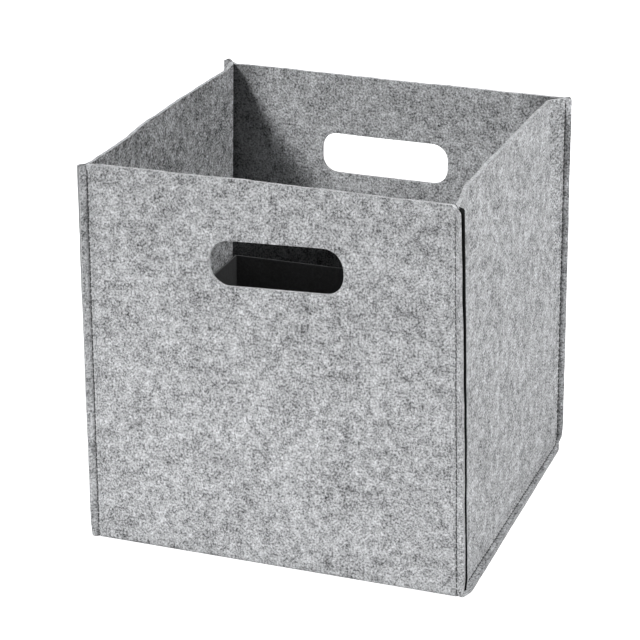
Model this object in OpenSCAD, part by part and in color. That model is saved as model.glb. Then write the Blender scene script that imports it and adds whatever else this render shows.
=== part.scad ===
// Felt storage bin: one folded strip, two side panels, raw-edge pinched seams
// and a loose stiffener board that keeps the lower half square.
// Origin: centre of the underside. +Z is up and the front faces -Y.

/* [Bin] */
// Width between the outer faces of the two side panels
bin_w = 314; // [200:1:420]
// Depth between the outer faces of the front and back walls
bin_d = 314; // [200:1:420]
// Height from the underside to the rim
bin_h = 330; // [220:1:450]
// Thickness of the felt
felt_t = 3; // [2:0.5:5]
// Outer radius of the two folds between the walls and the base
fold_r = 7; // [7:1:30]

/* [Seams] */
// Length of a seam fin, from the inside corner to its cut edge
fin_len = 11; // [9:0.5:18]
// Angle of the fin out of the wall's plane at the rim
fin_lean_rim = 48; // [10:1:60]
// Angle of the fin out of the wall's plane where the fold starts
fin_lean_fold = 32; // [5:1:60]
// How far the top edge of a fin slopes down to its raw edge
fin_slope = 2.5; // [0.5:0.5:4]
// Gap between the two layers of a fin
ply_gap = 0.2; // [0.1:0.1:1]
// Distance of the stitch line from the inside corner
stitch_inset = 4.4; // [4.4:0.2:8]
// Width of the groove that the stitches press into the felt
groove_w = 1.4; // [1.2:0.1:2]
// Depth of that groove
groove_depth = 0.9; // [0.8:0.1:1.2]
// Diameter of the sewing thread
thread_d = 0.7; // [0.4:0.1:0.8]
// Distance from the rim to the first stitch
stitch_start = 4; // [2:1:12]

/* [Handles] */
// Length of a hand hole
hole_w = 118; // [80:1:150]
// Height of a hand hole
hole_h = 38; // [25:1:50]
// Distance from the rim to the upper edge of a hand hole
hole_drop = 51; // [30:1:80]

/* [Stiffener] */
// Thickness of the stiffener board
board_t = 1.5; // [1:0.5:3]
// Height of the stiffener's flaps over its underside
flap_h = 144; // [60:1:150]
// Clearance between the stiffener and the walls
board_fit = 1; // [0.5:0.5:6]
// Clearance between the stiffener and the base
board_seat = 0.3; // [0.3:0.1:1]
// Gap between neighbouring flaps at their upright edges
flap_gap = 0.6; // [0.4:0.1:4]

/* [Hidden] */

felt_colour = [0.72, 0.72, 0.71];
panel_colour = [0.69, 0.69, 0.68];
thread_colour = [0.27, 0.27, 0.28];
board_colour = [0.42, 0.42, 0.43];

// How late the fins start to lean out further on their way up to the rim
lean_rise = 1.3;
// Rings along a wall, round a fold, and round a thread
wall_rings = 6;
fold_rings = 9;
thread_sides = 6;
hole_facets = 64;

// Inside corner of a seam, in the plane across it: x, and depth below the strip's outer face
seam_x = bin_w / 2 - felt_t;
// Half the groove, as used on each side of the stitch line
groove_half = groove_w / 2;
// The thread lies in the middle of the groove's depth
thread_depth = groove_depth / 2;

// ---- The path of the strip: down the front, round, along the base, round, up the back ----
// Each station is [point on the outer face (y, z), outward normal (y, z), lean of the fin,
// slope of the fin's end there].
// The fins lean out more and more towards the rim. Below, the lean fades out early in the
// fold, so that the fins lie flat before they reach the floor.
function lean_at(z) = fin_lean_fold + (fin_lean_rim - fin_lean_fold)
    * pow((z - fold_r) / (bin_h - fold_r), lean_rise);

function wall_stations(z_top) = [
    for (i = [0 : wall_rings - 1])
        let (z = z_top + (fold_r - z_top) * i / wall_rings)
        [[-bin_d / 2, z], [-1, 0], lean_at(z), z < bin_h ? 0 : fin_slope]
];

function fold_stations() = [
    for (i = [0 : fold_rings])
        let (turn = 90 * i / fold_rings, out = [-cos(turn), -sin(turn)])
        [[-bin_d / 2 + fold_r, fold_r] + fold_r * out, out,
         fin_lean_fold * pow(1 - i / fold_rings, 2), 0]
];

function to_back(s) = [[-s[0][0], s[0][1]], [-s[1][0], s[1][1]], s[2], s[3]];

function path(z_top) =
    let (front = concat(wall_stations(z_top), fold_stations()))
    concat(front, [for (i = [len(front) - 1 : -1 : 0]) to_back(front[i])]);

// A point of a section [x, depth below the outer face, share of the fin], set on the path
function placed(p, s) =
    [p[0], s[0][0] - s[1][0] * p[1], s[0][1] - s[1][1] * p[1] - s[3] * p[2]];

// ---- Sections across a seam ----
// A point of a fin: run along it from the inside corner, and off its parting plane
// towards the strip's outer face (positive) or towards the panel (negative).
function fin_point(run, off, lean) = [
    seam_x + run * cos(lean) - off * sin(lean),
    felt_t - run * sin(lean) - off * cos(lean),
    run / fin_len
];

function groove_points(off_face, off_floor, lean) = [
    fin_point(stitch_inset - groove_half, off_face, lean),
    fin_point(stitch_inset - groove_half, off_floor, lean),
    fin_point(stitch_inset + groove_half, off_floor, lean),
    fin_point(stitch_inset + groove_half, off_face, lean)
];

// Half of the strip's section, from its outer crease round the fin to the inside corner
function strip_half(lean) = concat(
    [[seam_x - felt_t * tan(lean / 2), 0, 0]],
    groove_points(felt_t, felt_t - groove_depth, lean),
    [fin_point(fin_len, felt_t, lean),
     fin_point(fin_len, 0, lean),
     [seam_x, felt_t, 0]]
);

function mirrored(points) = [for (p = reversed(points)) [-p[0], p[1], p[2]]];

function reversed(list) = [for (i = [len(list) - 1 : -1 : 0]) list[i]];

function strip_section(lean) = concat(strip_half(lean), mirrored(strip_half(lean)));

// A side panel's margin, from the panel's inner face round the fin to its outer face
function panel_section(lean) = concat(
    [[seam_x, felt_t + ply_gap / cos(lean), 0],
     fin_point(fin_len, -ply_gap, lean),
     fin_point(fin_len, -ply_gap - felt_t, lean)],
    reversed(groove_points(-ply_gap - felt_t, -ply_gap - felt_t + groove_depth, lean)),
    [[seam_x + felt_t, felt_t + (ply_gap + felt_t * (1 - sin(lean))) / cos(lean), 0]]
);

function thread_section(off, lean) = [
    for (i = [0 : thread_sides - 1])
        let (turn = 360 * i / thread_sides)
        fin_point(stitch_inset, off, lean) + thread_d / 2 * [cos(turn), sin(turn), 0]
];

// ---- Solids swept along the path ----
function skin_faces(rings, sides, closed) = [
    for (r = [0 : rings - 2], i = [0 : (closed ? sides - 1 : sides - 2)])
        let (j = (i + 1) % sides, a = r * sides, b = a + sides)
        each [[a + i, a + j, b + j], [a + i, b + j, b + i]]
];

function ring_cap(ring, sides) = [for (i = [0 : sides - 1]) ring * sides + i];

// A closed section swept along the stations, with the faces given closing its two ends
module swept(stations, sections, end_faces) {
    rings = len(stations);
    sides = len(sections[0]);
    polyhedron(
        points = [for (r = [0 : rings - 1], p = sections[r]) placed(p, stations[r])],
        faces = concat(skin_faces(rings, sides, true), end_faces),
        convexity = 10
    );
}

// The strip's end at a ring: the two sloping fins, and the level rim between them
function strip_end(ring, sides) =
    let (cap = ring_cap(ring, sides), half = sides / 2)
    [[for (i = [0 : half - 1]) cap[i]],
     [for (i = [half : sides - 1]) cap[i]],
     [cap[0], cap[half - 1], cap[half], cap[sides - 1]]];

function turned(faces) = [for (face = faces) reversed(face)];

// A side panel: flat inside its crease, with its margin turned out into the fin
module sewn_panel() {
    stations = path(bin_h);
    rings = len(stations);
    sections = [for (s = stations) panel_section(s[2])];
    sides = len(sections[0]);
    last = rings - 1;
    inner_rim = [for (r = [0 : last]) r * sides];
    outer_rim = [for (r = [0 : last]) r * sides + sides - 1];
    top_edge = [outer_rim[0], inner_rim[0], inner_rim[last], outer_rim[last]];
    polyhedron(
        points = [for (r = [0 : last], p = sections[r]) placed(p, stations[r])],
        faces = concat(
            skin_faces(rings, sides, false),
            [inner_rim, reversed(outer_rim), top_edge,
             reversed(ring_cap(0, sides)), ring_cap(last, sides)]
        ),
        convexity = 10
    );
}

module seam_thread(off) {
    stations = path(bin_h - stitch_start);
    last = len(stations) - 1;
    swept(stations, [for (s = stations) thread_section(off, s[2])],
          [reversed(ring_cap(0, thread_sides)), ring_cap(last, thread_sides)]);
}

// ---- Cuts ----
module hand_hole_outline() {
    end_x = (hole_w - hole_h) / 2;
    square([2 * end_x, hole_h], center = true);
    for (side = [-1, 1])
        translate([side * end_x, 0])
            circle(d = hole_h, $fn = hole_facets);
}

module hand_holes() {
    translate([0, bin_d / 2 + felt_t, bin_h - hole_drop - hole_h / 2])
        rotate([90, 0, 0])
            linear_extrude(height = bin_d + 2 * felt_t)
                hand_hole_outline();
}

// ---- Stiffener ----
board_d = bin_d - 2 * (felt_t + board_fit);
board_w = bin_w - 2 * (felt_t + board_fit);
board_z = felt_t + board_seat;
board_r = fold_r - felt_t;

// A rectangle standing on its base line, with its two lower corners round
module round_bottomed(w, h, r) {
    translate([-w / 2, r])
        square([w, h - r]);
    translate([-w / 2 + r, 0])
        square([w - 2 * r, r]);
    for (side = [-1, 1])
        translate([side * (w / 2 - r), r])
            circle(r = r, $fn = hole_facets);
}

// Stands a front view outline in the YZ plane and gives it a width along X
module across_bin(w) {
    rotate([90, 0, 90])
        translate([0, 0, -w / 2])
            linear_extrude(height = w)
                children();
}

module end_flap() {
    inner_r = board_r - board_t;
    translate([board_w / 2 - board_t / 2, 0, board_t])
        across_bin(board_t)
            round_bottomed(board_d - 2 * (board_t + flap_gap), flap_h - board_t,
                           inner_r);
}

// ---- Pieces ----
module body_strip() {
    stations = path(bin_h);
    sections = [for (s = stations) strip_section(s[2])];
    sides = len(sections[0]);
    end_faces = concat(turned(strip_end(0, sides)), strip_end(len(stations) - 1, sides));
    color(felt_colour)
        difference() {
            swept(stations, sections, end_faces);
            hand_holes();
        }
}

module left_panel() {
    color(panel_colour)
        mirror([1, 0, 0])
            sewn_panel();
}

// The same cut piece as the left panel, turned half round
module right_panel() {
    color(panel_colour)
        rotate([0, 0, 180])
            mirror([1, 0, 0])
                sewn_panel();
}

module right_needle_thread() {
    color(thread_colour)
        seam_thread(felt_t - thread_depth);
}

module left_needle_thread() {
    color(thread_colour)
        mirror([1, 0, 0])
            seam_thread(felt_t - thread_depth);
}

module right_bobbin_thread() {
    color(thread_colour)
        seam_thread(-ply_gap - felt_t + thread_depth);
}

module left_bobbin_thread() {
    color(thread_colour)
        mirror([1, 0, 0])
            seam_thread(-ply_gap - felt_t + thread_depth);
}

module stiffener_insert() {
    color(board_colour)
        translate([0, 0, board_z]) {
            across_bin(board_w)
                difference() {
                    round_bottomed(board_d, flap_h, board_r);
                    translate([0, board_t])
                        round_bottomed(board_d - 2 * board_t, flap_h, board_r - board_t);
                }
            end_flap();
            mirror([1, 0, 0])
                end_flap();
        }
}

body_strip();
left_panel();
right_panel();
left_needle_thread();
left_bobbin_thread();
right_needle_thread();
right_bobbin_thread();
stiffener_insert();
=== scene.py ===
# Felt storage bin: a folded strip and two side panels sewn along pinched, raw-edged seams,
# with a loose stiffener tray in the lower half. Metres, +Z up, the front faces -Y.

import math

import bmesh
import bpy
import numpy as np
from mathutils import Matrix, Vector


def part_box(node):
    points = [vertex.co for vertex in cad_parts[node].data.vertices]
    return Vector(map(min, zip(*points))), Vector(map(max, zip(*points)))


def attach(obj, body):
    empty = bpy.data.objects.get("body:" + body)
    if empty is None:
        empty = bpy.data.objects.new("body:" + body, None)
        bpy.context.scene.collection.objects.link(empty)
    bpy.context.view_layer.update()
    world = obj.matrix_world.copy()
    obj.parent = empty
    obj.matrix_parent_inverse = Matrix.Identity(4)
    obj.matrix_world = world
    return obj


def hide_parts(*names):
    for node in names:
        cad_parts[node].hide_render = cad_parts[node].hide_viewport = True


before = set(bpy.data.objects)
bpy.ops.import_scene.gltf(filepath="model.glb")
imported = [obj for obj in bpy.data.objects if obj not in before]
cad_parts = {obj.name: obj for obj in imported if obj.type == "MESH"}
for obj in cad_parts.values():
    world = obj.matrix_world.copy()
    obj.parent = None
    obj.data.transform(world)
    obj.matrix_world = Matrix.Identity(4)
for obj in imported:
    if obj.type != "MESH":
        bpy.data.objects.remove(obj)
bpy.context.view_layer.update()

# ---- Sizes of the bin: its makings in metres, and the rest from the frame ----
FELT = 0.003             # thickness of the felt
BOARD = 0.0015           # thickness of the tray's board
BOARD_GAP = 0.001        # room between the tray and the felt
FOLD_R = 0.007           # outer radius of the strip's two lower folds
FIN = 0.011              # width of the raw-edged fins, from the inside corner
PLY_GAP = 0.0002         # room between the two layers of a fin
STITCH_IN = 0.0044       # place of the stitches, from the inside corner
STITCH_PITCH = 0.005
STITCH_START = 0.004     # run from the rim to the first stitch

# The hand holes as cut: run of the centre from the rim, its x, length, height, corner radius
# and tilt in degrees
HOLES = {"front": (0.0683, 0.0060, 0.1145, 0.0376, 0.0165, 2.5),
         "back": (0.0735, -0.0073, 0.1190, 0.0370, 0.0142, 0.0)}

tray_low, tray_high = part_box("stiffener_insert")
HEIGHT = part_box("body_strip")[1].z
HALF_W = tray_high.x + BOARD_GAP + FELT
HALF_D = tray_high.y + BOARD_GAP + FELT
SEAM_X = HALF_W - FELT

WALL_RUN = HEIGHT - FOLD_R
FOLD_MID_R = FOLD_R - FELT / 2
FOLD_RUN = FOLD_MID_R * math.pi / 2
BASE_RUN = 2 * (HALF_D - FOLD_R)
STRIP_RUN = 2 * (WALL_RUN + FOLD_RUN) + BASE_RUN


# ---- Small tools ----
def smooth_step(t):
    """Goes over from 0 to 1 without a corner while t goes from 0 to 1."""
    t = np.clip(t, 0.0, 1.0)
    return t * t * (3 - 2 * t)


def nearest(values, wanted):
    """The number of the value that comes nearest to the wanted one."""
    return int(np.argmin(np.abs(values - wanted)))


def walked_length(path):
    """How far each point of a path lies along it."""
    return np.concatenate([[0], np.cumsum(np.linalg.norm(np.diff(path, axis=0), axis=1))])


def wobble(s, lengths, seed):
    """A gentle uneven wave of about -1 to 1 along s, made of a few wave lengths in metres."""
    total = np.zeros_like(s)
    for i, length in enumerate(lengths):
        phase = 1.7 * seed + 2.3 * i
        total += np.sin(2 * math.pi * s / length + phase) / (1 + 0.5 * i)
    return total / len(lengths)


# ---- The strip's path: down the front, under the base, up the back ----
def path_point(s):
    """Outer-face point (y, z), outward normal (y, z), turn of the fold and back flag at run s."""
    s = np.asarray(s, float)
    back = s > STRIP_RUN / 2
    w = np.where(back, STRIP_RUN - s, s)
    turn = np.clip((w - WALL_RUN) / FOLD_MID_R, 0.0, math.pi / 2)
    normal_y = -np.cos(turn)
    normal_z = -np.sin(turn)
    y = -HALF_D + FOLD_R + FOLD_R * normal_y + np.maximum(w - WALL_RUN - FOLD_RUN, 0.0)
    z = np.where(w < WALL_RUN, HEIGHT - w, FOLD_R + FOLD_R * normal_z)
    y = np.where(back, -y, y)
    normal_y = np.where(back, -normal_y, normal_y)
    return y, z, normal_y, normal_z, turn, back


# Each seam corner: lean of the strip's and of the panel's layer out of the strip's wall, in
# degrees at the rim and near the fold; how far each layer curls off the other there; the seed
# of its unevenness; where the corner of the soft bin stands at its rim and at its foot, in
# metres of x and y off its true place; and the power by which the lean grows upwards. The fins
# are cut shorter by trim up the wall and by base_trim along the base, and the free ends of the
# strip's and of the panel's layer stand below the rim by the two values of drop.
CORNERS = {
    "front_left": {"strip": (44, 27), "panel": (44, 27), "strip_gape": (0.0002, 0.0001),
                   "panel_gape": (0.0003, 0.0002), "seed": 1.0,
                   "rim_at": (0.0011, 0.0007), "foot_at": (0.0042, -0.0004), "power": 1.5,
                   "trim": 0.0, "base_trim": 0.0020, "drop": (0.0012, 0.0012)},
    "front_right": {"strip": (47, 1), "panel": (47, 3), "strip_gape": (0.0003, 0.0002),
                    "panel_gape": (0.0025, 0.0026), "seed": 2.0,
                    "rim_at": (-0.0052, 0.0006), "foot_at": (-0.0010, -0.0013), "power": 1.0,
                    "trim": 0.0, "base_trim": 0.0012, "drop": (0.0042, 0.0012)},
    "back_left": {"strip": (26, 30), "panel": (26, 30), "strip_gape": (0.0003, 0.0002),
                  "panel_gape": (0.0003, 0.0002), "seed": 3.0,
                  "rim_at": (0.0005, 0.0047), "foot_at": (-0.0022, -0.0009), "power": 1.0,
                  "trim": 0.0, "base_trim": 0.0020, "drop": (-0.0022, -0.0022)},
    "back_right": {"strip": (24, 30), "panel": (24, 32), "strip_gape": (0.0003, 0.0002),
                   "panel_gape": (0.0004, 0.0003), "seed": 4.0,
                   "rim_at": (-0.0003, -0.0034), "foot_at": (0.0007, 0.0005), "power": 1.0,
                   "trim": 0.0014, "base_trim": 0.0036, "drop": (0.0007, 0.0007)},
}
LEAN_FROM = 0.02         # height from which the lean goes over to that of the rim
LEAN_WAVE = 2.5          # unevenness of the lean, in degrees
GAPE_WAVE = 0.00012      # unevenness of the gape
BASE_BLEND = 0.006       # run past the fold over which the base begins
DROP_RUN = 0.06          # run from the rim over which the drop of the free ends fades


def corner_state(side, s, layer):
    """Lean in radians and gape in metres of one layer of the seams on one side, at run s."""
    _, z, _, _, turn, back = path_point(s)
    up = np.clip((z - LEAN_FROM) / (HEIGHT - LEAN_FROM), 0.0, 1.0)
    lean = np.zeros_like(z)
    gape = np.zeros_like(z)
    for end, here in (("front", ~back), ("back", back)):
        corner = CORNERS[end + "_" + side]
        height = up ** corner["power"]
        rim_lean, fold_lean = corner[layer]
        rim_gape, fold_gape = corner[layer + "_gape"]
        uneven = wobble(s, (0.093, 0.057, 0.036), corner["seed"])
        corner_lean = fold_lean + (rim_lean - fold_lean) * height + LEAN_WAVE * uneven
        corner_gape = fold_gape + (rim_gape - fold_gape) * height + GAPE_WAVE * uneven
        lean = np.where(here, corner_lean, lean)
        gape = np.where(here, corner_gape, gape)
    fade = (1 - turn / (math.pi / 2)) ** 2
    return np.radians(lean) * fade, gape * fade


def under_base(s):
    """How far run s is under the base: 0 on the walls, 1 past the fold."""
    w = np.minimum(s, STRIP_RUN - s)
    return smooth_step((w - WALL_RUN) / (FOLD_RUN + BASE_BLEND))


FIN_CORNER_R = 0.0009    # the fin's rounded corner at the rim
FOLD_NIP = 0.0020        # how much closer a fin is trimmed where it goes round the fold
FOLD_NIP_REACH = 0.0060
CUT_WAVE = 0.00018       # unevenness of the scissors' cut


def fin_edge(side, s):
    """How far the raw edge of a fin stands from the inside corner: a little uneven, rounded at
    the rim, and trimmed closer in the fold and under the base."""
    seed = 5.0 if side == "left" else 6.0
    rim = np.minimum(s, STRIP_RUN - s)
    short = np.clip(1 - rim / FIN_CORNER_R, 0.0, 1.0)
    back = s > STRIP_RUN / 2
    front_corner, back_corner = CORNERS["front_" + side], CORNERS["back_" + side]
    trim = np.where(back, back_corner["trim"], front_corner["trim"])
    across = np.clip(path_point(s)[0] / HALF_D, -1, 1) / 2 + 0.5
    base_trim = front_corner["base_trim"] * (1 - across) + back_corner["base_trim"] * across
    in_fold = np.exp(-((rim - WALL_RUN - 0.6 * FOLD_RUN) / FOLD_NIP_REACH) ** 2)
    length = FIN - trim - (base_trim - trim) * under_base(s) - FOLD_NIP * in_fold
    uneven = CUT_WAVE * wobble(s, (0.11, 0.031), seed)
    return length - FIN_CORNER_R * (1 - np.sqrt(1 - short ** 2)) + uneven


# The bend between a flat wall and its fin, and the places of the points across a seam, as
# shares of the way from the flat wall to the raw edge, closer together round the stitch line
BEND_RUN = 0.005
BEND_MID_R = 0.0045
STITCH_SHARE = 9.4 / 16
MARGIN_SHARES = np.array([0.0, 0.9, 1.7, 2.5, 3.2, 3.9, 4.6, 5.4, 6.2, 7.0, 7.8, 8.5,
                          9.0, 9.4, 9.8, 10.4, 11.2, 12.2, 13.4, 14.5, 15.4, 16.0]) / 16.0
STITCH_COLUMN = nearest(MARGIN_SHARES, STITCH_SHARE)


def rounded(a, corner, b, reach, r):
    """A path through corner from direction a to direction b, its bend rounded over reach."""
    t = np.clip((r + reach) / (2 * reach), 0.0, 1.0)[..., None]
    before = corner + a * np.minimum(r, -reach)[..., None]
    after = corner + b * np.maximum(r, reach)[..., None]
    start = corner - a * reach[..., None]
    stop = corner + b * reach[..., None]
    curve = start * (1 - t) ** 2 + corner * 2 * t * (1 - t) + stop * t ** 2
    return np.where(r[..., None] <= -reach[..., None], before,
                    np.where(r[..., None] >= reach[..., None], after, curve))


def curl(r):
    """How far a layer has opened at run r: none up to the stitches, then soon nearly all."""
    return np.sin(np.clip((r - STITCH_IN) / (FIN - STITCH_IN), 0.0, 1.0) * math.pi / 2)


def strip_margin(side, s, r):
    """Middle of the strip's margin: x from the seam corner and depth below the outer face."""
    lean, gape = corner_state(side, s, "strip")
    lean = np.broadcast_to(lean[:, None], r.shape)
    gape = np.broadcast_to(gape[:, None], r.shape)
    half = FELT / 2
    at_corner = -half * np.tan(lean / 2)
    along = np.stack([np.ones_like(r), np.zeros_like(r)], -1)
    fin = np.stack([np.cos(lean), -np.sin(lean)], -1)
    off = np.stack([-np.sin(lean), -np.cos(lean)], -1)
    corner = np.stack([at_corner, np.full_like(r, half)], -1)
    reach = np.maximum(BEND_MID_R * np.tan(lean / 2), 0.0002)
    stitch_at = STITCH_IN + at_corner
    on_wall = -BEND_RUN - at_corner
    share = (r + BEND_RUN) / (STITCH_IN + BEND_RUN)
    run = np.where(r < STITCH_IN, on_wall + (stitch_at - on_wall) * share, r + at_corner)
    point = rounded(along, corner, fin, reach, run)
    return point + off * (gape * curl(r))[..., None]


def panel_margin(side, s):
    """Middle of the panel's margin: x from the seam corner and depth below the strip's face."""
    lean, gape = corner_state(side, s, "panel")
    half = FELT / 2
    off_mid = PLY_GAP + half
    run_c = (half - off_mid * np.sin(lean)) / np.cos(lean)
    depth_c = FELT - run_c * np.sin(lean) + off_mid * np.cos(lean)
    first = run_c - (FELT + BEND_RUN - depth_c)
    r = margin_runs(first, fin_edge(side, s))
    lean = np.broadcast_to(lean[:, None], r.shape)
    gape = np.broadcast_to(gape[:, None], r.shape)
    outward = np.stack([np.zeros_like(r), -np.ones_like(r)], -1)
    fin = np.stack([np.cos(lean), -np.sin(lean)], -1)
    off = np.stack([np.sin(lean), np.cos(lean)], -1)
    corner = np.stack([np.full_like(r, half), np.broadcast_to(depth_c[:, None], r.shape)], -1)
    reach = np.clip(BEND_MID_R * np.tan((math.pi / 2 - lean) / 2), 0.0003, 0.0026)
    point = rounded(outward, corner, fin, reach, r - run_c[:, None])
    return point + off * (gape * curl(r))[..., None], r


def rim_drop(left, back, layer):
    """How far the free ends of one layer's fins stand below the rim."""
    at = 0 if layer == "strip" else 1
    drop = {name: corner["drop"][at] for name, corner in CORNERS.items()}
    return np.where(back, np.where(left, drop["back_left"], drop["back_right"]),
                    np.where(left, drop["front_left"], drop["front_right"]))


def placed(sign, x, depth, s, r=None, layer="strip"):
    """Turns x from the bin's middle plane and depth below the strip's outer face into points.
    Where the run r across a seam is given, the fin's top edge slopes to its raw edge."""
    y, z, normal_y, normal_z, _, back = path_point(s)
    if r is not None:
        near_rim = 1 - smooth_step(np.minimum(s, STRIP_RUN - s) / DROP_RUN)
        z = z - rim_drop(sign * x < 0, back, layer) * np.clip(r / FIN, 0.0, 1.1) * near_rim
    return np.stack([sign * x, y - normal_y * depth, z - normal_z * depth], -1)


# ---- How the soft walls stand: a wider foot, bowed rims, slightly wavy cloth ----
SAG_FROM = 0.120         # height above which the walls bow
WAVE_FROM = 0.150        # height above which the cloth waves
WALL_FROM = 0.130        # the points further out than this belong to a wall
WALL_BLEND = 0.018
RIGHT_BOW = 0.0086       # how far the right wall's rim bows in
RIGHT_BOW_EASED = 0.0013     # how much less it bows in front
RIGHT_BOW_BLEND = 0.060
LEFT_LEAN = 0.0022       # how far the left wall's rim leans in
LEFT_BOW = 0.0040        # how far the middle of it bows out again
FRONT_BOW = 0.0020       # how far the front and the back wall's rims bow in
BACK_BOW = 0.0008
FOOT_BULGE = 0.0030      # how far the right wall's foot bulges
CLOTH_WAVE = 0.0011
RAGGED_RIM = 0.0007
FOOT_WIDER = (0.0128, 0.0183)    # how much wider the foot is in x and in y, as a share
PINCH_FRONT = 0.055      # how far from the seams the side walls' lean reaches its full size
PINCH_BACK_RIGHT = 0.014
PINCH_BACK_LEFT = 0.024


def slumped(p):
    """Moves rest-shape points to where the soft bin really stands."""
    q = p.copy()
    x, y, z = p[..., 0], p[..., 1], p[..., 2]
    up = smooth_step((z - SAG_FROM) / (HEIGHT - SAG_FROM))
    high = np.clip((z - WAVE_FROM) / (HEIGHT - WAVE_FROM), 0.0, 1.0)
    across = np.cos(np.clip(x / SEAM_X, -1, 1) * math.pi / 2) ** 2
    deep = np.cos(np.clip(y / SEAM_X, -1, 1) * math.pi / 2) ** 2
    right = smooth_step((x - WALL_FROM) / WALL_BLEND)
    left = smooth_step((-x - WALL_FROM) / WALL_BLEND)
    front = smooth_step((-y - WALL_FROM) / WALL_BLEND)
    back = smooth_step((y - WALL_FROM) / WALL_BLEND)
    pinch_reach = np.where(y < 0, PINCH_FRONT, np.where(x > 0, PINCH_BACK_RIGHT, PINCH_BACK_LEFT))
    pinch = smooth_step((SEAM_X - np.abs(y)) / pinch_reach)
    foot = (1 - smooth_step((z - 0.012) / 0.070)) * smooth_step((HALF_D - np.abs(y)) / 0.020)
    side_wave = wobble(y, (0.118, 0.071), 0.4) * CLOTH_WAVE * high * deep
    wall_wave = wobble(x, (0.131, 0.083), 1.1) * CLOTH_WAVE * high * across
    bow = RIGHT_BOW_EASED * smooth_step(-y / RIGHT_BOW_BLEND) - RIGHT_BOW
    q[..., 0] += right * (bow * pinch * up + FOOT_BULGE * foot + side_wave)
    q[..., 0] += left * ((LEFT_LEAN * pinch - LEFT_BOW * deep) * up + side_wave)
    q[..., 1] += front * (FRONT_BOW * across * up + wall_wave)
    q[..., 1] += back * (-BACK_BOW * across * up - wall_wave)
    ragged = wobble(x, (0.083, 0.037, 0.023, 0.014), 2.0) + wobble(y, (0.071, 0.034, 0.021, 0.013), 3.0)
    q[..., 2] += RAGGED_RIM * ragged * smooth_step((z - HEIGHT + 0.006) / 0.006)
    for name, corner in CORNERS.items():
        to_back = 1 if name.startswith("back") else -1
        to_right = 1 if name.endswith("right") else -1
        near_x = 0.5 + 0.5 * to_right * np.clip(x / HALF_W, -1, 1)
        near_y = 0.5 + 0.5 * to_back * np.clip(y / HALF_D, -1, 1)
        for axis in (0, 1):
            at_foot, at_rim = corner["foot_at"][axis], corner["rim_at"][axis]
            q[..., axis] += near_x * near_y * (at_foot + (at_rim - at_foot) * z / HEIGHT)
    for axis in (0, 1):
        q[..., axis] *= 1 + FOOT_WIDER[axis] * (0.5 - z / HEIGHT)
    return q


# ---- Making a thick sheet from its middle surface ----
EDGE_ROUND = 0.0005
EDGE_ANGLE = math.radians(55)
INSIDE_SHIFT = (1.3, 0.7)    # the inner skin's place on the map, so that it shows other fibres
OUTER, CUT_EDGE, FIN_EDGE, INNER, PAINTED_SHADE_BETWEEN_FINS = range(5)


def loose_object(name, vertices, faces):
    """A new mesh object at the origin, linked to the scene."""
    mesh = bpy.data.meshes.new(name)
    mesh.from_pydata([tuple(v) for v in vertices], [], [tuple(f) for f in faces])
    mesh.update()
    thing = bpy.data.objects.new(name, mesh)
    bpy.context.scene.collection.objects.link(thing)
    return thing


def room_for_materials(thing, count):
    """Makes sure that a piece has as many empty places for materials as it needs."""
    while len(thing.data.materials) < count:
        thing.data.materials.append(None)


def apply_modifier(thing, kind, **settings):
    """Adds one modifier, sets it and applies it."""
    bpy.ops.object.select_all(action="DESELECT")
    thing.select_set(True)
    bpy.context.view_layer.objects.active = thing
    modifier = thing.modifiers.new(kind.title(), kind)
    for key, value in settings.items():
        setattr(modifier, key, value)
    bpy.ops.object.modifier_apply(modifier=modifier.name)


def vertex_normals(points, quads):
    """Smooth unit normals of a mesh of quads."""
    a = points[quads[:, 2]] - points[quads[:, 0]]
    b = points[quads[:, 3]] - points[quads[:, 1]]
    face = np.cross(a, b)
    total = np.zeros_like(points)
    for k in range(4):
        np.add.at(total, quads[:, k], face)
    return total / np.maximum(np.linalg.norm(total, axis=1, keepdims=True), 1e-12)


def boundary_edges(quads):
    """Directed edges that only one quad uses."""
    edges = np.concatenate([quads[:, [k, (k + 1) % 4]] for k in range(4)])
    known = set(map(tuple, edges.tolist()))
    return np.array([e for e in edges.tolist() if (e[1], e[0]) not in known])


def thick_sheet(name, points, quads, pressed, flat, on_fin):
    """A closed sheet: two skins round a middle surface, the outer one pressed in as given, and
    its cut edges lightly rounded.
    The map "flat" holds each point's place on the flat blank, in metres. The materials are in
    the order of the outer skin, the cut edges, those of the fins, the inner skin, and the inner
    skin where two fins lie against each other, which carries painted shade for the gap between them."""
    normals = vertex_normals(points, quads)
    count = len(points)
    skins = np.concatenate([points + normals * (FELT / 2 - pressed)[:, None],
                            points - normals * (FELT / 2)])
    rim = boundary_edges(quads)
    rim_quads = np.stack([rim[:, 1], rim[:, 0], rim[:, 0] + count, rim[:, 1] + count], 1)
    faces = np.concatenate([quads, quads[:, ::-1] + count, rim_quads])
    sheet = loose_object(name, skins, faces.tolist())
    skin = np.full(len(faces), OUTER, np.int32)
    # the inner skin where two fins face each other gets painted shade, a near-black felt for the gap
    # between the layers
    skin[len(quads):2 * len(quads)] = np.where(on_fin[quads].all(axis=1), PAINTED_SHADE_BETWEEN_FINS, INNER)
    skin[2 * len(quads):] = np.where(on_fin[rim].all(axis=1), FIN_EDGE, CUT_EDGE)
    room_for_materials(sheet, PAINTED_SHADE_BETWEEN_FINS + 1)
    sheet.data.polygons.foreach_set("material_index", skin)
    corners = np.empty(len(sheet.data.loops), np.int32)
    sheet.data.loops.foreach_get("vertex_index", corners)
    both = np.concatenate([flat, flat + INSIDE_SHIFT])
    layer = sheet.data.uv_layers.new(name="flat")
    layer.data.foreach_set("uv", both[corners].astype(np.float32).ravel())
    apply_modifier(sheet, "BEVEL", width=EDGE_ROUND, segments=2, limit_method="ANGLE",
                   angle_limit=EDGE_ANGLE, use_clamp_overlap=True)
    sheet.data.shade_smooth()
    return sheet


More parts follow.
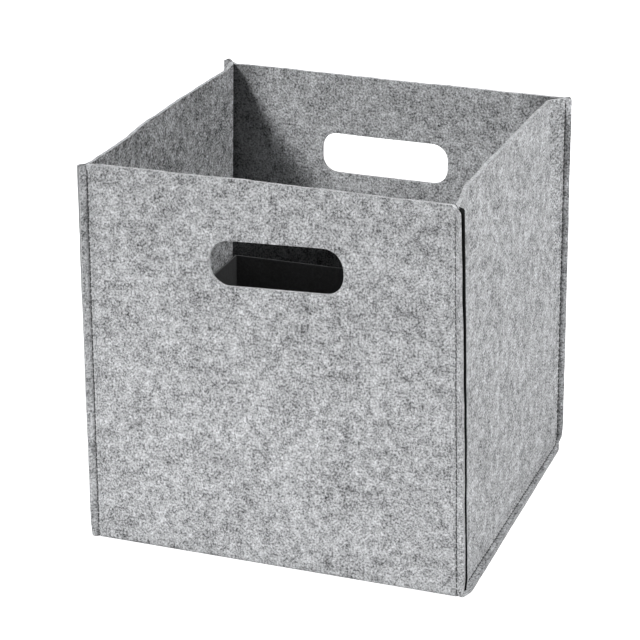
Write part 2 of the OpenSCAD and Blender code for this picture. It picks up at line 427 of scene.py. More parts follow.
# ---- Felt blanks ----
RIM_ROWS = [0.0, 0.0006, 0.0016, 0.003, 0.005]
WALL_ROWS, FOLD_ROWS, BASE_ROWS = 123, 11, 56
PRESSED_LINE = 0.0012    # depth and half width of the line that the stitches pull in
PRESSED_WIDTH = 0.0012
PRESSED_FIN = 0.00015    # how much flatter the felt is pressed past the stitches
BASE_EDGE_DROP = 0.0012  # how much thinner the panel's fin is pressed under the base,
BASE_EDGE_FROM = 0.0050  # from this run across the seam
BASE_EDGE_BLEND = 0.0026
NO_SEAM = -1.0           # the run across a seam that stands for a point far from any


def station_runs():
    """Runs of the rows along the strip's path, closer together at the rims and in the folds."""
    wall = np.linspace(0.0075, WALL_RUN - 0.0105, WALL_ROWS).tolist()
    fold = np.linspace(WALL_RUN, WALL_RUN + FOLD_RUN, FOLD_ROWS).tolist()
    base = np.linspace(WALL_RUN + FOLD_RUN, STRIP_RUN / 2, BASE_ROWS).tolist()[1:]
    front = RIM_ROWS + wall + fold + base
    return np.array(front + [STRIP_RUN - s for s in front[-2::-1]])


def press(r, s):
    """How far the stitches press the outer face in at run r across the seam."""
    rise = (0.86 + 0.14 * np.cos(2 * math.pi * s / STITCH_PITCH)) * (1 - 0.25 * under_base(s))
    line = PRESSED_LINE * np.exp(-((r - STITCH_IN) / PRESSED_WIDTH) ** 2) * rise
    return line + PRESSED_FIN * smooth_step((r - STITCH_IN + 0.001) / 0.002)


def margin_runs(first, edge):
    """Runs across a margin from first to the raw edge, always with one on the stitch line."""
    share = MARGIN_SHARES[None, :]
    near = first[:, None] + (STITCH_IN - first)[:, None] * share / STITCH_SHARE
    far = STITCH_IN + (edge - STITCH_IN)[:, None] * (share - STITCH_SHARE) / (1 - STITCH_SHARE)
    return np.where(share <= STITCH_SHARE, near, far)


def grid_quads(index):
    """The quads between the rows and columns of a grid of point numbers."""
    return np.stack([index[:-1, :-1], index[1:, :-1], index[1:, 1:], index[:-1, 1:]], -1)


def hole_nearest(x, s, wall):
    """The nearest points on the outline of one wall's hand hole, for points round it."""
    drop, centre_x, length, height, corner_r, tilt = HOLES[wall]
    tilt = math.radians(tilt)
    x, s = x - centre_x, s - drop
    along = x * math.cos(tilt) - s * math.sin(tilt)
    over = x * math.sin(tilt) + s * math.cos(tilt)
    core_x = np.clip(along, corner_r - length / 2, length / 2 - corner_r)
    core_s = np.clip(over, corner_r - height / 2, height / 2 - corner_r)
    away = np.stack([along - core_x, over - core_s], -1)
    away *= corner_r / np.linalg.norm(away, axis=-1, keepdims=True)
    along, over = core_x + away[..., 0], core_s + away[..., 1]
    return (centre_x + along * math.cos(tilt) + over * math.sin(tilt),
            drop - along * math.sin(tilt) + over * math.cos(tilt))


# The field round a hand hole, which rings of points fill up to the cut edge: half its width,
# the run from the rim to its middle, half its height, and how far in each ring lies
FIELD_HALF_W = 0.071
FIELD_RUN = 0.070
FIELD_HALF_H = 0.030
RING_SHARES = (0.24, 0.46, 0.66, 0.82, 0.94, 1.0)
FLAT_ROW = 20            # a row high up the wall, by which the field's columns are found


def strip_columns():
    """Columns across the wall between the two seam margins."""
    middle = np.linspace(-FIELD_HALF_W, FIELD_HALF_W, 31)
    side = np.linspace(FIELD_HALF_W, SEAM_X - BEND_RUN, 13)[1:]
    return np.concatenate([-side[::-1], middle, side])


def hole_rings(wall, s, x, index, cols, next_point):
    """Fills the field round one hand hole with rings that close in to the cut edge. Gives the
    field's first and last row, and the points, places on the blank and quads of the rings."""
    middle = FIELD_RUN if wall == "front" else STRIP_RUN - FIELD_RUN
    low, high = nearest(s, middle - FIELD_HALF_H), nearest(s, middle + FIELD_HALF_H)
    first, last = cols
    bottom = [(high, j) for j in range(first, last)]
    right_up = [(i, last) for i in range(high, low, -1)]
    top = [(low, j) for j in range(last, first, -1)]
    left_down = [(i, first) for i in range(low, high)]
    row, col = np.array(bottom + right_up + top + left_down).T
    ring_x, ring_s = x[row, col], s[row]
    if wall == "front":
        hole_x, hole_s = hole_nearest(ring_x, ring_s, wall)
    else:
        hole_x, hole_s = hole_nearest(ring_x, STRIP_RUN - ring_s, wall)
        hole_s = STRIP_RUN - hole_s
    points, flat, quads = [], [], []
    before = index[row, col]
    for share in RING_SHARES:
        now_x = ring_x + (hole_x - ring_x) * share
        now_s = ring_s + (hole_s - ring_s) * share
        points.append(placed(1.0, now_x, np.full_like(now_x, FELT / 2), now_s))
        flat.append(np.stack([now_x, now_s], -1))
        here = next_point + np.arange(len(before))
        next_point += len(before)
        quads.append(np.stack([before, np.roll(before, -1), np.roll(here, -1), here], 1))
        before = here
    return (low, high), np.concatenate(points), np.concatenate(flat), np.concatenate(quads)


def body_strip_sheet():
    """The folded strip, with its hand holes cut and its margins bent out into fins."""
    s = station_runs()
    across = strip_columns()[1:-1]
    rows = len(s)
    wall_x = np.tile(across, (rows, 1))
    left_r = margin_runs(np.full(rows, -BEND_RUN), fin_edge("left", s))
    right_r = margin_runs(np.full(rows, -BEND_RUN), fin_edge("right", s))
    left, right = strip_margin("left", s, left_r), strip_margin("right", s, right_r)
    x = np.concatenate([-(SEAM_X + left[:, ::-1, 0]), wall_x, SEAM_X + right[..., 0]], 1)
    depth = np.concatenate([left[:, ::-1, 1], np.full_like(wall_x, FELT / 2), right[..., 1]], 1)
    run = np.concatenate([left_r[:, ::-1], np.full_like(wall_x, NO_SEAM), right_r], 1)
    blank_x = np.concatenate([-(SEAM_X + left_r[:, ::-1]), wall_x, SEAM_X + right_r], 1)
    s_grid = np.tile(s[:, None], (1, x.shape[1]))
    points = placed(1.0, x, depth, s_grid, run).reshape(-1, 3)
    flat = np.stack([blank_x, s_grid], -1).reshape(-1, 2)
    on_wall = len(points)
    index = np.arange(on_wall).reshape(x.shape)
    cols = nearest(x[FLAT_ROW], -FIELD_HALF_W), nearest(x[FLAT_ROW], FIELD_HALF_W)
    keep = np.ones((rows - 1, x.shape[1] - 1), bool)
    rings = []
    for wall in ("front", "back"):
        field, ring_points, ring_flat, ring = hole_rings(wall, s, x, index, cols, len(points))
        keep[field[0]:field[1], cols[0]:cols[1]] = False
        points = np.concatenate([points, ring_points])
        flat = np.concatenate([flat, ring_flat])
        rings.append(ring)
    quads = np.concatenate([grid_quads(index)[keep]] + rings)
    pressed = np.zeros(len(points))
    pressed[:on_wall] = press(run, s_grid).reshape(-1)
    on_fin = np.zeros(len(points), bool)
    on_fin[:on_wall] = run.reshape(-1) > STITCH_IN
    used = np.unique(quads)
    renumber = np.full(len(points), -1)
    renumber[used] = np.arange(len(used))
    return thick_sheet("felt_body_strip", slumped(points[used]), renumber[quads],
                       pressed[used], flat[used], on_fin[used])


def panel_patch(path, s):
    """The flat middle of a side panel as a grid of (y, z): its sides and its foot follow the
    path inside the seam, from the front rim round to the back rim, and its rim is straight."""
    last = len(path) - 1
    corner = nearest(s, WALL_RUN + FOLD_RUN / 2)
    front = path[:corner + 1]
    back = path[last:last - corner - 1:-1]
    foot = path[corner:last - corner + 1]
    down, over = walked_length(front), walked_length(foot)
    a = (down / down[-1])[:, None, None]
    b = (over / over[-1])[None, :, None]
    rim = front[0] * (1 - b[0]) + back[0] * b[0]
    return ((1 - b) * front[:, None] + b * back[:, None] + (1 - a) * rim[None] + a * foot[None]
            - (1 - a) * (1 - b) * front[0] - (1 - a) * b * back[0]
            - a * (1 - b) * front[-1] - a * b * back[-1])


# Where each panel's blank lies on the felt, so that the two don't show the same fibres
PANEL_SHIFT = {"left": (4.8, 2.7), "right": (3.1, 0.4)}


def side_panel_sheet(side):
    """A side panel: flat inside its seam, with its margin turned out into the fins."""
    s = station_runs()
    sign = 1.0 if side == "right" else -1.0
    margin, r = panel_margin(side, s)
    middle_x = SEAM_X + FELT / 2
    inner_depth = np.full(len(s), FELT + BEND_RUN)
    path = placed(1.0, np.full(len(s), middle_x), inner_depth, s)[:, 1:]
    patch = panel_patch(path, s)
    wall = np.concatenate([np.full(patch.shape[:2] + (1,), sign * middle_x), patch], -1)
    on_wall = wall.shape[0] * wall.shape[1]
    index = np.arange(on_wall).reshape(wall.shape[:2])
    seam = np.concatenate([index[:, 0], index[-1, 1:-1], index[::-1, -1]])
    width = margin.shape[1]
    s_grid = np.tile(s[:, None], (1, width))
    fins = placed(sign, SEAM_X + margin[..., 0], margin[..., 1], s_grid, r, "panel")
    fin_index = on_wall + np.arange(len(s) * (width - 1)).reshape(len(s), width - 1)
    grid = np.concatenate([seam[:, None], fin_index], 1)
    fin_quads = grid_quads(grid)[..., [0, 3, 2, 1]]
    quads = np.concatenate([grid_quads(index).reshape(-1, 4), fin_quads.reshape(-1, 4)])
    points = np.concatenate([wall.reshape(-1, 3), fins[:, 1:].reshape(-1, 3)])
    on_edge = under_base(s_grid) * smooth_step((r - BASE_EDGE_FROM) / BASE_EDGE_BLEND)
    dip = press(r, s_grid) + BASE_EDGE_DROP * on_edge
    pressed = np.concatenate([np.zeros(on_wall), dip[:, 1:].reshape(-1)])
    on_fin = np.concatenate([np.zeros(on_wall, bool), (r[:, 1:] > STITCH_IN).reshape(-1)])
    normal_y, normal_z = path_point(s)[2:4]
    outward = np.stack([normal_y, normal_z], -1)[:, None, :]
    fin_flat = path[:, None, :] + outward * (r - r[:, :1])[..., None]
    blank = np.concatenate([patch.reshape(-1, 2), fin_flat[:, 1:].reshape(-1, 2)])
    if side == "left":
        quads = quads[:, ::-1]
    return thick_sheet("felt_" + side + "_panel", slumped(points), quads, pressed,
                       blank + PANEL_SHIFT[side], on_fin)


# ---- Sewing thread ----
MM = 0.001
THREAD_SIDES = 7
THREAD_SUNK = 0.0011     # how deep the thread lies below the face of the felt
LINE_STEP = 0.00025      # step of the points along the stitch line
LOOK_AHEAD = 0.0004      # how far ahead its direction is taken
LOOK_ACROSS = 0.0003     # how far across the seam the slope of the felt is taken
STITCH_SKEW = 0.00036    # how far a stitch's ends lie off the line

# Along one stitch: the place as a share of its length, the thread's radius and its lift, in mm
STITCH_PROFILE = ((-0.5, 0.20, -0.25), (-0.42, 0.44, -0.02), (-0.2, 0.54, 0.10), (0.0, 0.56, 0.14),
                  (0.2, 0.54, 0.10), (0.42, 0.44, -0.02), (0.5, 0.20, -0.25))


def seam_line(side, layer, s):
    """Points on the stitch line of one layer, with the outward direction of its face."""
    sign = 1.0 if side == "right" else -1.0
    if layer == "strip":
        runs = np.full((len(s), 1), STITCH_IN)
        here = strip_margin(side, s, runs)[:, 0]
        beyond = strip_margin(side, s, runs + LOOK_ACROSS)[:, 0]
    else:
        margin = panel_margin(side, s)[0]
        here = margin[:, STITCH_COLUMN]
        beyond = margin[:, STITCH_COLUMN + 1]
    on_line = np.full(len(s), STITCH_IN)
    point = slumped(placed(sign, SEAM_X + here[:, 0], here[:, 1], s, on_line, layer))
    further = slumped(placed(sign, SEAM_X + beyond[:, 0], beyond[:, 1], s, on_line, layer))
    along = np.gradient(point, axis=0)
    out = np.cross(along, further - point)
    out *= sign if layer == "strip" else -sign
    return point, out / np.linalg.norm(out, axis=1, keepdims=True)


def at_length(length, walked, values):
    """The point or direction at a length along a walked path."""
    return np.array([np.interp(length, walked, values[:, axis]) for axis in range(3)])


def seam_thread(name, side, layer):
    """A row of stitches, each a short plump loop that dips into the felt at both ends."""
    s = np.arange(STITCH_START, STRIP_RUN - STITCH_START, LINE_STEP)
    line, out = seam_line(side, layer, s)
    walked = walked_length(line)
    count = int(walked[-1] / STITCH_PITCH)
    pitch = walked[-1] / count
    last_ring = len(STITCH_PROFILE) - 1
    vertices, faces = [], []
    for k in range(count):
        middle = (k + 0.5) * pitch
        length = pitch * (0.92 + 0.05 * math.sin(k * 2.4) + 0.03 * math.sin(k * 0.9))
        skew = STITCH_SKEW * math.sin(k * 1.7)
        start = len(vertices)
        for share, thick, rise in STITCH_PROFILE:
            at = middle + share * length
            centre = at_length(at, walked, line)
            up = at_length(at, walked, out)
            along = at_length(at + LOOK_AHEAD, walked, line) - centre
            across = np.cross(along / np.linalg.norm(along), up)
            lift = FELT / 2 - THREAD_SUNK + rise * MM
            centre = centre + up * lift + across * skew * share
            for i in range(THREAD_SIDES):
                turn = 2 * math.pi * i / THREAD_SIDES
                around = math.cos(turn) * across + math.sin(turn) * up
                vertices.append(centre + around * thick * MM)
        for ring in range(last_ring):
            for i in range(THREAD_SIDES):
                j = (i + 1) % THREAD_SIDES
                a = start + ring * THREAD_SIDES
                b = a + THREAD_SIDES
                faces.append((a + i, a + j, b + j, b + i))
        end = start + last_ring * THREAD_SIDES
        faces.append(tuple(start + i for i in reversed(range(THREAD_SIDES))))
        faces.append(tuple(end + i for i in range(THREAD_SIDES)))
    thread = loose_object(name, vertices, faces)
    thread.data.shade_smooth()
    return thread


# ---- Stiffener tray ----
TRAY_R = FOLD_R - FELT   # outer radius of the folds under the front and back flaps
TRAY_LEAN = 0.0012       # how far each flap's top edge leans in
TRAY_EDGE = 0.0003       # rounding of the board's edges
END_FLAP_GAP = 0.0006    # room between an end flap and the long flaps beside it
FOLD_SEGMENTS = 10
NEAR = 1e-4              # what is closer than this counts as the same place


def added_block(name, low, high):
    """A box between two corners, in edit mode with nothing selected."""
    bpy.ops.object.select_all(action="DESELECT")
    middle = (Vector(low) + Vector(high)) / 2
    bpy.ops.mesh.primitive_cube_add(size=1.0, location=middle)
    block = bpy.context.view_layer.objects.active
    block.name = name
    block.scale = Vector(high) - Vector(low)
    bpy.ops.object.transform_apply(location=True, rotation=True, scale=True)
    bpy.ops.object.mode_set(mode="EDIT")
    bpy.ops.mesh.select_all(action="DESELECT")
    return block


def select_faces(block, wanted):
    """Selects the faces of the piece in edit mode whose centre and normal pass the test."""
    bpy.ops.mesh.select_all(action="DESELECT")
    bpy.ops.mesh.select_mode(type="FACE")
    mesh = bmesh.from_edit_mesh(block.data)
    for face in mesh.faces:
        face.select_set(wanted(face.calc_center_median(), face.normal))
    bmesh.update_edit_mesh(block.data)


def select_edges(block, wanted):
    """Selects the edges of the piece in edit mode whose two ends pass the test."""
    bpy.ops.mesh.select_all(action="DESELECT")
    bpy.ops.mesh.select_mode(type="EDGE")
    mesh = bmesh.from_edit_mesh(block.data)
    for edge in mesh.edges:
        edge.select_set(wanted(edge.verts[0].co, edge.verts[1].co))
    bmesh.update_edit_mesh(block.data)


def lean_in(block, top, axis):
    """Tips the upright flaps of the piece in edit mode a little inwards at their top edges."""
    for sign in (-1, 1):
        select_edges(block, lambda a, b: min(a.z, b.z) > top - NEAR
                     and min(a[axis] * sign, b[axis] * sign) > 0.1)
        move = [0.0, 0.0, 0.0]
        move[axis] = -sign * TRAY_LEAN
        bpy.ops.transform.translate(value=move)


def long_flaps():
    """The base of the tray with its front and back flaps, bent up round wide folds."""
    block = added_block("tray_base", tray_low, tray_high)
    select_faces(block, lambda centre, normal: normal.z > 0.9 or abs(normal.x) > 0.9)
    bpy.ops.mesh.delete(type="FACE")
    select_edges(block, lambda a, b: max(a.z, b.z) < tray_low.z + NEAR and abs(a.y - b.y) < NEAR)
    bpy.ops.mesh.bevel(offset=TRAY_R, segments=FOLD_SEGMENTS, affect="EDGES")
    lean_in(block, tray_high.z, 1)
    bpy.ops.object.mode_set(mode="OBJECT")
    apply_modifier(block, "SOLIDIFY", thickness=BOARD, offset=-1.0)
    return block


def end_flap(side):
    """An end flap of the tray, with its two lower corners cut round to clear the folds."""
    sign = 1.0 if side == "right" else -1.0
    outer, inner = sign * tray_high.x, sign * (tray_high.x - BOARD)
    half_y = tray_high.y - BOARD - END_FLAP_GAP
    low = (min(outer, inner), -half_y, tray_low.z + BOARD)
    high = (max(outer, inner), half_y, tray_high.z)
    block = added_block("tray_end_" + side, low, high)
    select_edges(block, lambda a, b: max(a.z, b.z) < low[2] + NEAR and abs(a.y - b.y) < NEAR)
    bpy.ops.mesh.bevel(offset=TRAY_R - BOARD, segments=FOLD_SEGMENTS, affect="EDGES")
    lean_in(block, tray_high.z, 0)
    bpy.ops.object.mode_set(mode="OBJECT")
    return block


def stiffener_tray():
    """The loose tray: a board folded up on four sides. Its top edges are the second material, a lighter
    board that is a painted highlight.
    """
    parts = [long_flaps(), end_flap("left"), end_flap("right")]
    bpy.ops.object.select_all(action="DESELECT")
    for part in parts:
        part.select_set(True)
    bpy.context.view_layer.objects.active = parts[0]
    bpy.ops.object.join()
    tray = bpy.context.view_layer.objects.active
    tray.name = "stiffener_tray"
    apply_modifier(tray, "BEVEL", width=TRAY_EDGE, segments=2, limit_method="ANGLE",
                   angle_limit=math.radians(50))
    bpy.ops.object.select_all(action="DESELECT")
    tray.select_set(True)
    bpy.ops.object.shade_smooth_by_angle(angle=math.radians(35))
    room_for_materials(tray, 2)
    # painted highlight: the top edges take the lighter board, as if catching the light
    for face in tray.data.polygons:
        face.material_index = int(face.center.z > tray_high.z - TRAY_EDGE * 1.5)
    return tray


# ---- Shader values ----
class Shade:
    """A socket of a material's nodes that takes part in Python sums."""

    def __init__(self, tree, socket=None):
        self.tree = tree
        self.socket = socket

    def node(self, kind, settings=None, output=0, **inputs):
        """Adds a node with its settings and inputs, and gives back one of its outputs."""
        made = self.tree.nodes.new(kind)
        for key, value in (settings or {}).items():
            setattr(made, key, value)
        for key, value in inputs.items():
            name = key.replace("_", " ")
            socket = made.inputs[int(key[1:])] if key[1:].isdigit() else made.inputs[name]
            if isinstance(value, Shade):
                self.tree.links.new(value.socket, socket)
            else:
                socket.default_value = value
        return Shade(self.tree, made.outputs[output] if len(made.outputs) else None)

    def maths(self, operation, a, b=0.0, clamp=False):
        """The result of one operation on two values."""
        return self.node("ShaderNodeMath", {"operation": operation, "use_clamp": clamp}, i0=a, i1=b)

    def __add__(self, other):
        return self.maths("ADD", self, other)

    def __sub__(self, other):
        return self.maths("SUBTRACT", self, other)

    def __rsub__(self, other):
        return self.maths("SUBTRACT", other, self)

    def __mul__(self, other):
        return self.maths("MULTIPLY", self, other)

    def __pow__(self, other):
        return self.maths("POWER", self, other)

    __radd__ = __add__
    __rmul__ = __mul__

    def limited(self):
        """The value held between 0 and 1."""
        return self.maths("ADD", self, 0.0, clamp=True)

    def noise(self, place, scale, detail=2.0, roughness=0.5, output=0, flat=True):
        """Noise at a place; flat noise reads two coordinates only."""
        kind = {"noise_dimensions": "2D" if flat else "3D"}
        return self.node("ShaderNodeTexNoise", kind, output, Vector=place, Scale=scale,
                         Detail=detail, Roughness=roughness)

    def turned(self, place, degrees, along, across):
        """The place turned and stretched, for a pattern that runs in one direction."""
        return self.node("ShaderNodeMapping", {"vector_type": "TEXTURE"}, Vector=place,
                         Rotation=(0.0, 0.0, math.radians(degrees)), Scale=(along, across, 1.0))

    def tint(self, value, cast):
        """A grey value given a slight colour cast."""
        return self.node("ShaderNodeCombineColor", Red=value * cast[0], Green=value * cast[1],
                         Blue=value * cast[2])


def new_material(name):
    """An empty node material and a Shade to build it with."""
    material = bpy.data.materials.new(name)
    material.use_nodes = True
    material.node_tree.nodes.clear()
    return material, Shade(material.node_tree)


def finished(make, surface):
    """Joins a surface to the material's output."""
    make.node("ShaderNodeOutputMaterial", Surface=surface)


# ---- Felt, thread and board ----
DISPLAY_GAMMA = 2.2      # tones are greys as seen, raised to this for the shader
COOL_FELT = (0.985, 1.0, 1.025)
COOL_GREY = (0.99, 1.0, 1.02)
PAINTED_SHADE_REACH = 0.040      # how far the painted shade reaches from the seams and upwards
PAINTED_SHADE_BELOW = 0.225

# Families of fibres: direction in degrees, length and width of a streak in metres, and weight
FIBRES = ((-38, 0.0046, 0.0011, 0.60), (24, 0.0042, 0.0010, 0.45), (78, 0.0044, 0.0010, 0.45),
          (-75, 0.0040, 0.0010, 0.40))


def painted_shade_mask(make):
    """Painted shade: 0 in the open and 1 at the side seams and low down, along the piece's own places.
    """
    place = make.node("ShaderNodeTexCoord", output="Object")
    across = make.node("ShaderNodeSeparateXYZ", output="X", Vector=place)
    height = make.node("ShaderNodeSeparateXYZ", output="Z", Vector=place)
    out_from_middle = make.maths("ABSOLUTE", across)
    near_seam = (out_from_middle - (SEAM_X - PAINTED_SHADE_REACH)) * (1 / PAINTED_SHADE_REACH)
    low_down = (PAINTED_SHADE_BELOW - height) * (1 / PAINTED_SHADE_REACH)
    return make.maths("MAXIMUM", near_seam, low_down).limited()


def felt(name, tone, contrast, seed, painted_shade_share=0.0):
    """Thick mottled felt: pale and dark fibres laid every way, in drifts and clumps. With painted
    shade, the felt is darker towards the seams and low down, where the inside lies in shade."""
    material, make = new_material(name)
    spot = make.node("ShaderNodeUVMap", {"uv_map": "flat"})
    spot = make.node("ShaderNodeVectorMath", {"operation": "ADD"}, i0=spot, i1=(seed, seed, 0.0))
    drift = make.noise(spot, 95.0, 1.0, output=1)
    drift = make.node("ShaderNodeVectorMath", {"operation": "SCALE"}, i0=drift, Scale=0.0075)
    bent = make.node("ShaderNodeVectorMath", {"operation": "ADD"}, i0=spot, i1=drift)
    marl = (make.noise(spot, 560.0, 3.0, 0.62) - 0.5) * 1.9
    for degrees, length, width, weight in FIBRES:
        streak = make.noise(make.turned(bent, degrees, length, width), 1.0, 1.5, 0.55)
        marl = marl + (streak - 0.5) * weight
    clumps = (make.noise(spot, 115.0, 1.5) - 0.5) * 0.72
    clouds = (make.noise(spot, 26.0, 1.0) - 0.5) * 0.30
    marl = marl + clumps + clouds
    marl = marl - marl * marl * 0.45
    grey = (marl * contrast + (tone + 0.02)).limited() ** DISPLAY_GAMMA
    # painted shade: darker towards the side seams and low down, for the shade in the inside corners and
    # deep in the bin
    if painted_shade_share:
        grey = grey * (1 - painted_shade_mask(make) * painted_shade_share)
    fine = make.noise(spot, 1900.0, 2.0, 0.6)
    height = marl * 0.5 + fine * 0.5
    bump = make.node("ShaderNodeBump", Strength=0.25, Distance=0.0004, Height=height)
    surface = make.node("ShaderNodeBsdfPrincipled", Base_Color=make.tint(grey, COOL_FELT),
                        Roughness=0.95, Sheen_Weight=0.06, Sheen_Roughness=0.6,
                        Specular_IOR_Level=0.1, Normal=bump)
    finished(make, surface)
    return material


def felt_edge(name, tone):
    """The cut edge of the felt, with its fibres showing end on."""
    material, make = new_material(name)
    spot = make.node("ShaderNodeTexCoord", output="Object")
    ends = (make.noise(spot, 620.0, 3.0, 0.65, flat=False) - 0.5) * 1.6
    drifts = (make.noise(spot, 150.0, 2.0, flat=False) - 0.5) * 0.8
    grey = ((ends + drifts) * 0.66 * tone + tone).limited() ** DISPLAY_GAMMA
    bump = make.node("ShaderNodeBump", Strength=0.5, Distance=0.0005, Height=ends)
    surface = make.node("ShaderNodeBsdfPrincipled", Base_Color=make.tint(grey, COOL_FELT),
                        Roughness=0.97, Sheen_Weight=0.1, Sheen_Roughness=0.6,
                        Specular_IOR_Level=0.1, Normal=bump)
    finished(make, surface)
    return material


def sewing_thread():
    """Dark grey spun thread."""
    material, make = new_material("seam_thread")
    spot = make.node("ShaderNodeTexCoord", output="Object")
    plies = (make.noise(spot, 1700.0, 2.0, flat=False) - 0.5) * 0.5
    grey = (plies * 0.3 + 0.24).limited() ** DISPLAY_GAMMA
    bump = make.node("ShaderNodeBump", Strength=0.4, Distance=0.0002, Height=plies)
    surface = make.node("ShaderNodeBsdfPrincipled", Base_Color=make.tint(grey, COOL_GREY),
                        Roughness=0.7, Sheen_Weight=0.1, Specular_IOR_Level=0.3, Normal=bump)
    finished(make, surface)
    return material


def grey_board(name, tone):
    """Smooth pressed board with a faint grain and slightly scuffed."""
    material, make = new_material(name)
    spot = make.node("ShaderNodeTexCoord", output="Object")
    grain = (make.noise(spot, 900.0, 3.0, 0.6, flat=False) - 0.5) * 0.5
    cloud = (make.noise(spot, 30.0, 2.0, flat=False) - 0.5) * 0.35
    flecks = (make.noise(spot, 420.0, 1.0, 0.5, flat=False) - 0.5) * 0.6
    grey = ((grain + cloud + flecks) * 0.20 + tone).limited() ** DISPLAY_GAMMA
    bump = make.node("ShaderNodeBump", Strength=0.2, Distance=0.0002, Height=grain)
    rough = (cloud * 0.3 + 0.62).limited()
    surface = make.node("ShaderNodeBsdfPrincipled", Base_Color=make.tint(grey, COOL_GREY),
                        Roughness=rough, Specular_IOR_Level=0.35, Normal=bump)
    finished(make, surface)
    return material


# ---- The room ----
WHITE = (1.0, 1.0, 1.0, 1.0)
FLOOR_PAINT = (0.8, 0.8, 0.8, 1.0)
FLOOR_SIZE = 40.0
FLOOR_GLOW = 0.93        # lifts the floor to white where it shows, and leaves the shadow
AMBIENT = 0.015

# Each lamp: the point that it is turned to, its place, its width and height, and its level
SOFTBOXES = {
    "key_softbox": ((0.0, 0.0, 0.2), (-2.10, -6.24, 3.02), 0.72, 1.2, 0.60),
    "right_softbox": ((0.0, 0.0, 0.25), (1.745, 0.09, 1.82), 0.2, 0.4, 0.445),
    "low_softbox": ((0.157, 0.0, 0.12), (1.30, 0.08, 0.10), 0.7, 0.2, 0.33),
    "floor_softbox": ((0.0, -0.157, 0.08), (-0.10, -0.51, 0.05), 0.7, 0.06, 0.46),
    "top_softbox": ((0.0, 0.0, 0.3), (0.0, 0.0, 2.6), 0.3, 0.3, 0.12),
    "back_softbox": ((0.0, 0.0, 0.16), (-1.5, 1.5, 0.2), 0.6, 0.3, 0.80),
}


def seen_directly(make):
    """1 for rays from the camera and for those that gloss or glass sends on."""
    from_camera = make.node("ShaderNodeLightPath", output="Is Camera Ray")
    glossy = make.node("ShaderNodeLightPath", output="Is Glossy Ray")
    through = make.node("ShaderNodeLightPath", output="Is Transmission Ray")
    return (from_camera + glossy + through).limited()


def white_floor():
    """A plain white floor that keeps the bin's soft shadow."""
    bpy.ops.object.select_all(action="DESELECT")
    bpy.ops.mesh.primitive_plane_add(size=FLOOR_SIZE)
    floor = bpy.context.view_layer.objects.active
    floor.name = "floor"
    material, make = new_material("white_floor")
    matt = make.node("ShaderNodeBsdfDiffuse", Color=FLOOR_PAINT)
    glow = make.node("ShaderNodeEmission", Color=WHITE, Strength=FLOOR_GLOW)
    lit = make.node("ShaderNodeAddShader", i0=matt, i1=glow)
    mixed = make.node("ShaderNodeMixShader", Fac=seen_directly(make), i1=matt, i2=lit)
    finished(make, mixed)
    floor.data.materials.append(material)


def white_room():
    """White where it shows, and only a little light from all round."""
    world = bpy.data.worlds.new("room")
    world.use_nodes = True
    world.node_tree.nodes.clear()
    make = Shade(world.node_tree)
    dim = make.node("ShaderNodeBackground", Color=WHITE, Strength=AMBIENT)
    white = make.node("ShaderNodeBackground", Color=WHITE, Strength=1.0)
    mixed = make.node("ShaderNodeMixShader", Fac=seen_directly(make), i1=dim, i2=white)
    make.node("ShaderNodeOutputWorld", Surface=mixed)
    bpy.context.scene.world = world


def softbox(name, aim, place, width, height, level):
    """An oblong lamp that lights a face turned to it at the given level, 1 being plain."""
    away = Vector(place) - Vector(aim)
    bpy.ops.object.select_all(action="DESELECT")
    bpy.ops.object.light_add(type="AREA", location=place)
    lamp = bpy.context.view_layer.objects.active
    lamp.name = name
    lamp.rotation_euler = away.to_track_quat("Z", "Y").to_euler()
    lamp.data.shape = "RECTANGLE"
    lamp.data.size = width
    lamp.data.size_y = height
    lamp.data.energy = level * (math.pi * away.length) ** 2


def studio():
    """The white floor and room, and all the lamps."""
    white_floor()
    white_room()
    for name, settings in SOFTBOXES.items():
        softbox(name, *settings)


# ---- Camera ----
CAMERA_AZIMUTH = math.radians(19.64)
CAMERA_ELEVATION = math.radians(21.81)
CAMERA_AIM = (-0.0140, 0.0, 0.1573)
CAMERA_DISTANCE = 2.0
LENS_MM = 131.4
SENSOR_MM = 36.0


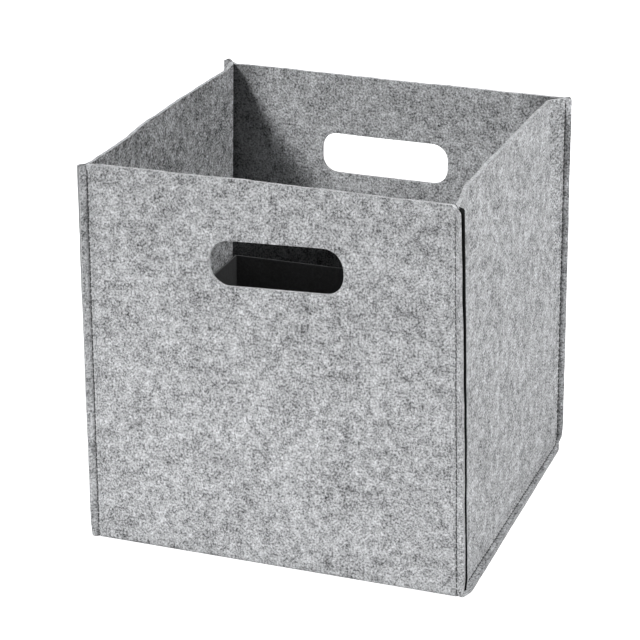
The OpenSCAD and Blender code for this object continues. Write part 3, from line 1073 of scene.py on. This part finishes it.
def camera():
    """A long lens from the front right, looking a little down."""
    back = Vector((math.sin(CAMERA_AZIMUTH) * math.cos(CAMERA_ELEVATION),
                   -math.cos(CAMERA_AZIMUTH) * math.cos(CAMERA_ELEVATION),
                   math.sin(CAMERA_ELEVATION)))
    level = Vector((math.cos(CAMERA_AZIMUTH), math.sin(CAMERA_AZIMUTH), 0.0))
    upright = back.cross(level)
    place = Vector(CAMERA_AIM) + back * CAMERA_DISTANCE
    bpy.ops.object.camera_add(location=place)
    made = bpy.context.view_layer.objects.active
    made.name = "camera"
    turn = Matrix((level, upright, back)).transposed().to_4x4()
    made.matrix_world = Matrix.Translation(place) @ turn
    made.data.lens = LENS_MM
    made.data.sensor_width = SENSOR_MM
    bpy.context.scene.camera = made


# ---- The whole bin ----
def dressed(piece, body, slot, materials, *nodes):
    """Gives a piece its materials, its body and the nodes that it stands for. The slot is not used."""
    room_for_materials(piece, len(materials))
    for i, material in enumerate(materials):
        piece.data.materials[i] = material
    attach(piece, body)
    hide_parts(*nodes)


bpy.context.scene.view_settings.view_transform = "Standard"
camera()
studio()

# the cut edges: a tone well above the faces' as painted light on the top-facing rims; the fins' cut
# edges get a darker copy as painted shade
cut_edge_painted_light = felt_edge("felt_cut_edge", 0.86)
fin_edge_painted_shade = felt_edge("felt_painted_shade_fin_edge", 0.69)
# painted shade: near-black felt on the inner skins between the fins, for the dark gap of the seams
painted_shade_between_fins = felt_edge("felt_between_fins", 0.14)
strip_felt = felt("strip_felt", 0.637, 0.48, 0.0)
# the strip's inside: a lighter tone than its outside as painted light, and painted shade towards the
# seams and low down
strip_inside_lit_and_shaded = felt("strip_felt_inside_painted_light_and_shade", 0.705, 0.56, 0.0, 0.70)
strip_faces = (strip_felt, cut_edge_painted_light, fin_edge_painted_shade, strip_inside_lit_and_shaded, painted_shade_between_fins)
strip = body_strip_sheet()
dressed(strip, "bin", "strip_felt", strip_faces, "body_strip")

panel_felt = felt("panel_felt", 0.672, 0.56, 7.3)
panel_inside = felt("panel_felt_inside", 0.672, 0.82, 7.3)
panel_faces = (panel_felt, cut_edge_painted_light, fin_edge_painted_shade, panel_inside, painted_shade_between_fins)
for side in ("left", "right"):
    panel = side_panel_sheet(side)
    dressed(panel, "bin", "panel_felt", panel_faces, side + "_panel")

thread = sewing_thread()
for side in ("left", "right"):
    for layer, node in (("strip", "needle"), ("panel", "bobbin")):
        stitches = seam_thread(side + "_" + node + "_stitches", side, layer)
        dressed(stitches, "bin", "seam_thread", (thread,), side + "_" + node + "_thread")

board = (grey_board("stiffener_board", 0.26), grey_board("stiffener_board_painted_highlight", 0.42))
dressed(stiffener_tray(), "insert", "stiffener_board", board, "stiffener_insert")
